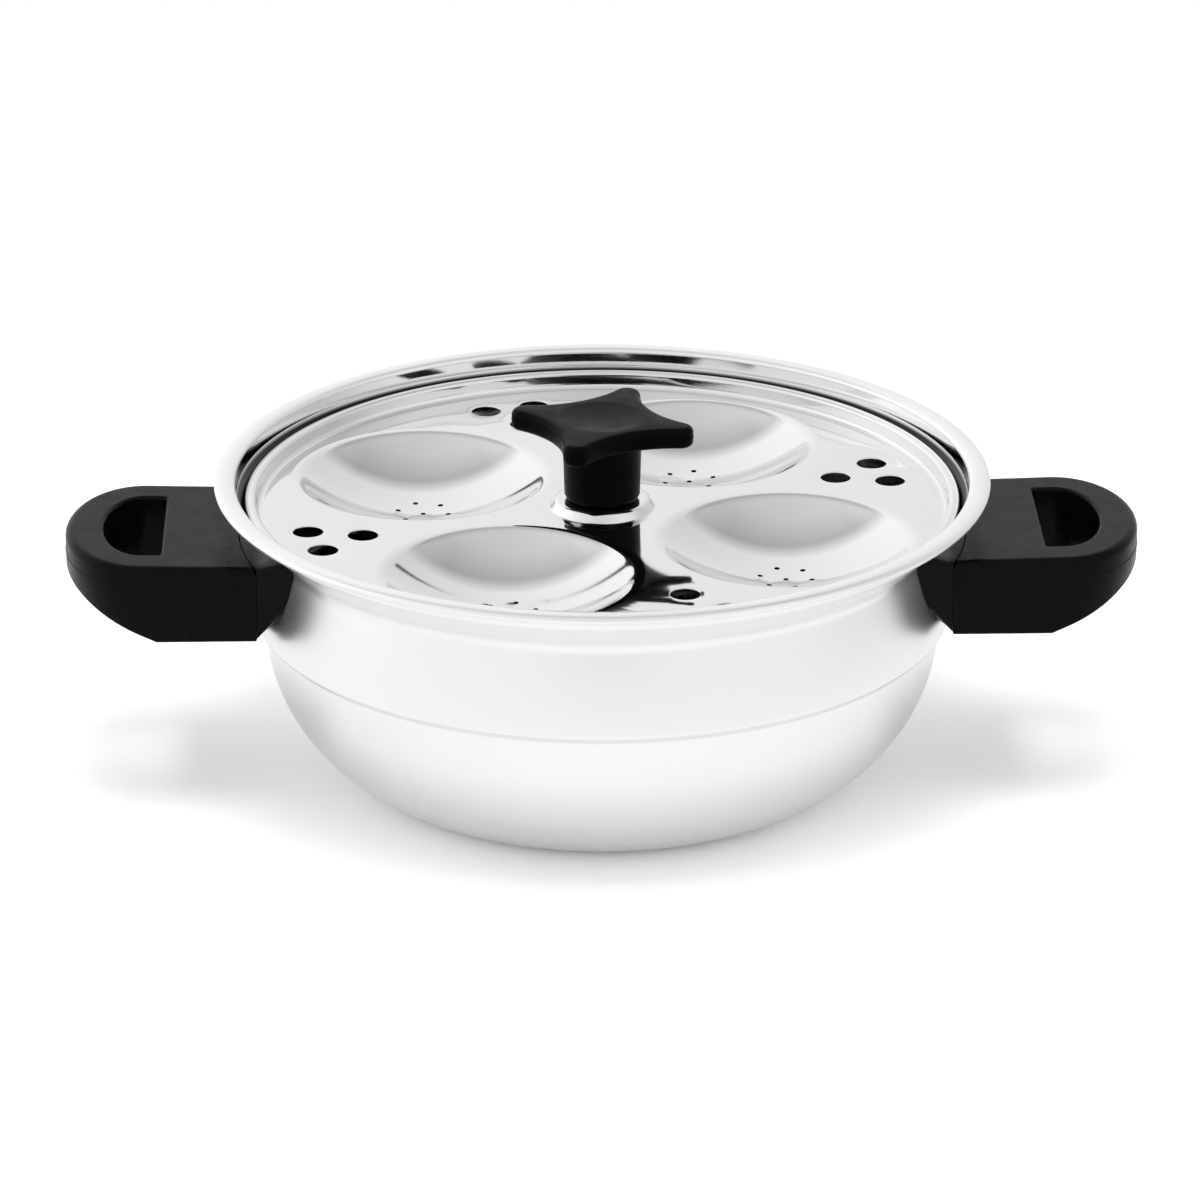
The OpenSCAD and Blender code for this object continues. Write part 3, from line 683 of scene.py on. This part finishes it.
def slotOutline(grown):
    half = gripSize["halfWidth"] - gripSize["slotWall"] + grown
    back, corner = slotX - grown, gripSize["slotCorner"] + grown
    straight = [(back, (half - corner) * (i / 6 - 1)) for i in range(1, 12)]
    nose = ovalPoints(
        noseX, 0, gripSize["noseLength"] - gripSize["slotWall"] + grown, half, 90, -90, 32)
    upper = arcPoints(back + corner, half - corner, corner, 180, 90, 5)
    lower = arcPoints(back + corner, corner - half, corner, 270, 180, 5)
    return straight + upper + [(bendX, half)] + nose + [(bendX, -half)] + lower


def gripRings(outline, topRound, footRound, parting):
    # from the rounded foot, over the parting ridge, to the rounded top and its flat
    rings = []
    for a in (math.radians(angle) for angle in (90, 60, 30, 0)):
        rings.append([
            (x, y, gripUnder(x) + footRound * (1 - math.sin(a)))
            for x, y in outline(footRound * (1 - math.cos(a)))])
    for out, drop in parting:
        rings.append([(x, y, gripTop(x) - drop) for x, y in outline(-out)])
    for a in (math.radians(15 * i) for i in range(7)):
        rings.append([
            (x, y, gripTop(x) - topRound * (1 - math.sin(a)))
            for x, y in outline(topRound * (1 - math.cos(a)))])
    rings.append([(x, y, gripTop(x)) for x, y in outline(topRound + 0.4)])
    return rings


def makeGrip(name, side, nodes):
    bm = bmesh.new()
    drop, ridge = gripSize["partingDrop"], gripSize["partingRidge"]
    parting = [(0, drop + 0.3), (ridge, drop + 0.12), (ridge, drop - 0.12), (0, drop - 0.3)]
    outer = loftLoops(bm, gripRings(
        gripOutline, gripSize["topRound"], gripSize["footRound"], parting))
    inner = loftLoops(bm, gripRings(
        slotOutline, gripSize["slotRound"], gripSize["slotFootRound"], []))
    fillLoops(bm, outer[-1] + inner[-1])
    # the flat foot with the screw's sink, and the sloping part past the bend
    under = outer[0] + inner[0]
    atBend = {v for e in under for v in e.verts if abs(v.co.x - bendX) < sameSpot}
    atBend = sorted(atBend, key=lambda v: v.co.y)
    across = [bm.edges.new(atBend[:2]), bm.edges.new(atBend[2:])]
    rim = circlePoints(
        jointRadius + gripSize["screwFrom"], 0, gripSize["sinkRadius"], gripSize["sinkSteps"])
    sink = addLoop(bm, [(x, y, gripFootZ) for x, y in rim])
    flat = [e for e in under if all(v.co.x < bendX + sameSpot for v in e.verts)]
    fillLoops(bm, flat + across + sink, (0, 0, -1))
    fillLoops(bm, [e for e in under if e not in flat] + across, (0, 0, -1))
    raised = bmesh.ops.extrude_edge_only(bm, edges=sink)["geom"]
    sinkTop = [g for g in raised if isinstance(g, bmesh.types.BMVert)]
    bmesh.ops.translate(bm, verts=sinkTop, vec=(0, 0, gripSize["sinkDepth"]))
    topEdges = [g for g in raised if isinstance(g, bmesh.types.BMEdge) and g.is_boundary]
    bmesh.ops.edgenet_fill(bm, edges=topEdges)
    mirrorPiece(bm, side)
    joinClose(bm)
    bmesh.ops.recalc_face_normals(bm, faces=bm.faces)
    finishPiece(name, bm, gripBlack, "pot", nodes, gripSize["sharpAngle"])


# the guards between the grips and the pot
guardSize = {
    "halfWidth": 42.5, "foot": 17, "rise": 4, "jointFoot": 1.6, "straight": 6.5, "depth": 16,
    "edgeRound": 1.3, "wallGap": 0.12, "jointGap": 0.05, "topGap": 0.25, "middleDrop": 12,
    "wallStep": 0.25, "wallSteps": 180, "sharpAngle": 50,
}


def potRadiusAt(z):
    wall = [p for p in potProfile() if p[1] > bellyZ - 1 and p[0] < collarRadius + 0.01]
    for low, high in zip(wall, wall[1:]):
        if low[1] <= z <= high[1] and high[1] > low[1]:
            return low[0] + (high[0] - low[0]) * (z - low[1]) / (high[1] - low[1])
    return collarRadius


potRadii = [
    potRadiusAt(bellyZ + guardSize["wallStep"] * i) for i in range(guardSize["wallSteps"])]


def wallX(y, z):
    step = min(max((z - bellyZ) / guardSize["wallStep"], 0), len(potRadii) - 2)
    i = int(step)
    radius = potRadii[i] + (potRadii[i + 1] - potRadii[i]) * (step - i)
    return math.sqrt(radius ** 2 - y ** 2) + guardSize["wallGap"]


def guardOutline(flared):
    half = gripSize["halfWidth"] + (guardSize["halfWidth"] - gripSize["halfWidth"]) * flared
    top = gripZ - guardSize["topGap"] + guardSize["rise"] * flared
    foot = guardSize["jointFoot"] + (guardSize["foot"] - guardSize["jointFoot"]) * flared
    soft = guardSize["edgeRound"]
    crown = [((half - soft) * (1 - i / 8), top) for i in range(1, 16)]
    footZ = gripFootZ + foot
    flank = [footZ + (top - soft - footZ) * i / 6 for i in range(1, 6)]
    base = ovalPoints(0, footZ, half, foot, 180, 360, 40)
    right = arcPoints(half - soft, top - soft, soft, 0, 90, 4)
    left = arcPoints(soft - half, top - soft, soft, 90, 180, 4)
    return (crown + left + [(-half, z) for z in reversed(flank)] + base
            + [(half, z) for z in flank] + right)


def guardPoint(k, towardPot, shrink):
    # the flare depends on how far back the point lies, so it is found step by step
    flared, middle = 0, gripZ - guardSize["middleDrop"]
    for _ in range(6):
        y, z = guardOutline(flared)[k]
        z = middle + (z - middle) * shrink
        y *= shrink
        front = math.sqrt((jointRadius - guardSize["jointGap"]) ** 2 - y ** 2)
        x = front + (wallX(y, z) - front) * towardPot
        back = jointRadius - guardSize["straight"] - x
        flared = min(max(back / (guardSize["depth"] - guardSize["straight"]), 0), 1)
    return (x, y, z)


def makeGuard(name, side, nodes):
    # each station is how far it lies toward the pot, and how far it is shrunk to close an end
    bm = bmesh.new()
    count = len(guardOutline(0))
    stations = [(0, s) for s in (0.15, 0.45, 0.75)] + [
        (p, 1) for p in (0, 0.03, 0.12, 0.25, 0.4, 0.55, 0.7, 0.85, 1)] + [
        (1, s) for s in (0.75, 0.45, 0.15)]
    rings = [[guardPoint(k, p, s) for k in range(count)] for p, s in stations]
    edgeLoops = loftLoops(bm, rings)
    for loop in (edgeLoops[0], edgeLoops[-1]):
        bmesh.ops.edgenet_fill(bm, edges=loop)
    mirrorPiece(bm, side)
    joinClose(bm)
    bmesh.ops.recalc_face_normals(bm, faces=bm.faces)
    finishPiece(name, bm, guardBlack, "pot", nodes, guardSize["sharpAngle"])


for side, word in ((-1, "left"), (1, "right")):
    makeGrip("grip_" + word, side, ["handle_grip_" + word])
    makeGuard("guard_" + word, side, ["handle_guard_" + word])


# the fixings keep their frame shapes and get their metals
def dressNode(name, material):
    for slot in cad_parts[name].material_slots:
        slot.material = material


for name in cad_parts:
    if name.startswith(("handle_bracket", "handle_nut", "handle_washer", "handle_screw")):
        dressNode(name, fixingSteel)
for name in ("spacer_tube", "spindle_rod", "plate_washer", "cap_nut"):
    dressNode(name, fixingSteel)
dressNode("knob_insert", insertBrass)
print("steamer: fixings dressed")


# floor, sky and lamp
studio = {
    "floorHalf": 6.0, "floorGap": 0.0002, "floorTone": 0.94, "floorSeen": 1.38,
    "floorMirrored": 1.1, "clearFrom": 0.26, "clearTo": 0.55,
    "rightGrey": 0.12, "greyFrom": 0.1, "greyTo": 0.6,
    "skyDiffuse": 0.7, "leftToRight": 0.35, "behindFrom": -0.4, "behindTo": 0.2,
    "dipFrom": 0.4, "dipTo": 0.8, "frontMiddle": 0.86, "middleHalf": 0.4,
    "skyBands": [       # degrees from the backdrop, over the top, to the front, and brightness
        (0, 1.0), (46, 1.0), (58, 0.52), (66, 0.60),
        (80, 0.72), (110, 0.88), (150, 0.95), (180, 0.97)],
    "keyEnergy": 9.0, "keySize": 0.75, "keyPlace": (0.0, -0.3, 1.7),
}


def makeFloor():
    bm = bmesh.new()
    bmesh.ops.create_grid(bm, x_segments=1, y_segments=1, size=studio["floorHalf"])
    mesh = bpy.data.meshes.new("studio_floor")
    bm.to_mesh(mesh)
    bm.free()
    floor = bpy.data.objects.new("studio_floor", mesh)
    scene.collection.objects.link(floor)
    floor.location.z = cadBox[0].z - studio["floorGap"]
    bench = NodeBench("floorPaper")
    # the paper lights the object plainly, and is seen bright enough that only the
    # deeper part of the shadow shows on it
    paths = bench.add("LightPath").outputs
    tone, seen = studio["floorTone"], 0.0
    for path, level in (
            ("Is Glossy Ray", "floorMirrored"), ("Is Transmission Ray", "floorMirrored"),
            ("Is Camera Ray", "floorSeen")):
        tone = bench.add("Mix", {"Factor": paths[path], "A": tone, "B": studio[level]})
        tone = tone.outputs["Result"]
        seen = bench.add("Math", {0: seen, 1: paths[path]}, operation="MAXIMUM").outputs[0]
    paper = bench.add("BsdfDiffuse", {"Color": tone})
    # away from the object the paper runs out into plain white, which the steel
    # mirrors a little greyer to the right
    away = bench.add("VectorMath", {0: bench.place}, operation="LENGTH").outputs["Value"]
    clear = bench.between(away, 0, 1, studio["clearFrom"], studio["clearTo"])
    share = bench.add("Math", {0: clear, 1: seen}, operation="MULTIPLY")
    sideways = bench.add("SeparateXYZ", {0: bench.place}).outputs["X"]
    grey = bench.between(sideways, 0, studio["rightGrey"], studio["greyFrom"], studio["greyTo"])
    grey = bench.add("Math", {0: grey, 1: paths["Is Glossy Ray"]}, operation="MULTIPLY")
    level = bench.add("Math", {0: 1.0, 1: grey.outputs[0]}, operation="SUBTRACT")
    white = bench.add("Emission", {"Color": (1, 1, 1, 1), "Strength": level.outputs[0]})
    mix = bench.add("MixShader", {
        0: share.outputs[0], 1: paper.outputs[0], 2: white.outputs[0]})
    bench.links.new(mix.outputs[0], bench.nodes["Material Output"].inputs["Surface"])
    bench.nodes.remove(bench.shader)
    mesh.materials.append(bench.material)


def makeWorld():
    world = bpy.data.worlds.new("studioSky")
    scene.world = world
    world.use_nodes = True
    nodes, links = world.node_tree.nodes, world.node_tree.links

    def add(kind, *values, operation=None):
        node = nodes.new("ShaderNode" + kind)
        if operation:
            node.operation = operation
        for i, value in enumerate(values):
            if isinstance(value, bpy.types.NodeSocket):
                links.new(value, node.inputs[i])
            elif value is not None:
                node.inputs[i].default_value = value
        return node

    # what polished steel sees: a bright backdrop, above it a grey gap that lightens
    # toward the front and fades out to the sides, more light from the left than from
    # the right behind the object, and a front that is a little darker in its middle
    direction = add("SeparateXYZ", nodes.new("ShaderNodeTexCoord").outputs["Generated"]).outputs
    turn = add("Math", direction["Z"], direction["Y"], operation="ARCTAN2")
    share = add("Math", turn.outputs[0], math.pi, operation="DIVIDE")
    bands = add("ValToRGB", share.outputs[0])
    stops = bands.color_ramp.elements
    for _ in studio["skyBands"][2:]:
        stops.new(0.5)
    for stop, (angle, level) in zip(stops, studio["skyBands"]):
        stop.position = angle / 180
        stop.color = (level, level, level, 1)
    sideways = add("Math", direction["X"], operation="ABSOLUTE")
    past = add("MapRange", sideways.outputs[0], studio["dipFrom"], studio["dipTo"], 0.0, 1.0)
    banded = add("Mix", past.outputs[0], None, bands.outputs["Color"], 1.0)
    behind = add("MapRange", direction["Y"], studio["behindFrom"], studio["behindTo"], 0.0, 1.0)
    lean = add("Math", direction["X"], behind.outputs[0], operation="MULTIPLY")
    tilt = add("Math", lean.outputs[0], -studio["leftToRight"], 1.0, operation="MULTIPLY_ADD")
    middle = add(
        "MapRange", sideways.outputs[0], 0.0, studio["middleHalf"], studio["frontMiddle"], 1.0)
    front = add("Mix", behind.outputs[0], None, middle.outputs[0], 1.0)
    mirrored = add("Math", banded.outputs[0], tilt.outputs[0], operation="MULTIPLY")
    mirrored = add("Math", mirrored.outputs[0], front.outputs[0], operation="MULTIPLY")
    paths = nodes.new("ShaderNodeLightPath").outputs
    plain = add("Mix", paths["Is Camera Ray"], None, studio["skyDiffuse"], 1.0)
    plain = add("Mix", paths["Is Transmission Ray"], None, plain.outputs[0], 1.0)
    level = add("Mix", paths["Is Glossy Ray"], None, plain.outputs[0], mirrored.outputs[0])
    back = nodes["Background"]
    back.inputs["Color"].default_value = (1, 1, 1, 1)
    links.new(level.outputs[0], back.inputs["Strength"])
    world.cycles.sampling_method = "NONE"


def makeLamp():
    # the square softbox lights the object, and no polished surface mirrors it
    data = bpy.data.lights.new("keySoftbox", "AREA")
    data.size = studio["keySize"]
    data.energy = studio["keyEnergy"]
    lamp = bpy.data.objects.new("keySoftbox", data)
    scene.collection.objects.link(lamp)
    lamp.visible_glossy = False
    place = Vector(studio["keyPlace"])
    aim = place.to_track_quat("Z", "Y").to_matrix().to_4x4()
    lamp.matrix_world = Matrix.Translation(place) @ aim


makeFloor()
makeWorld()
makeLamp()
scene.view_settings.view_transform = "Standard"
print("steamer: studio made")
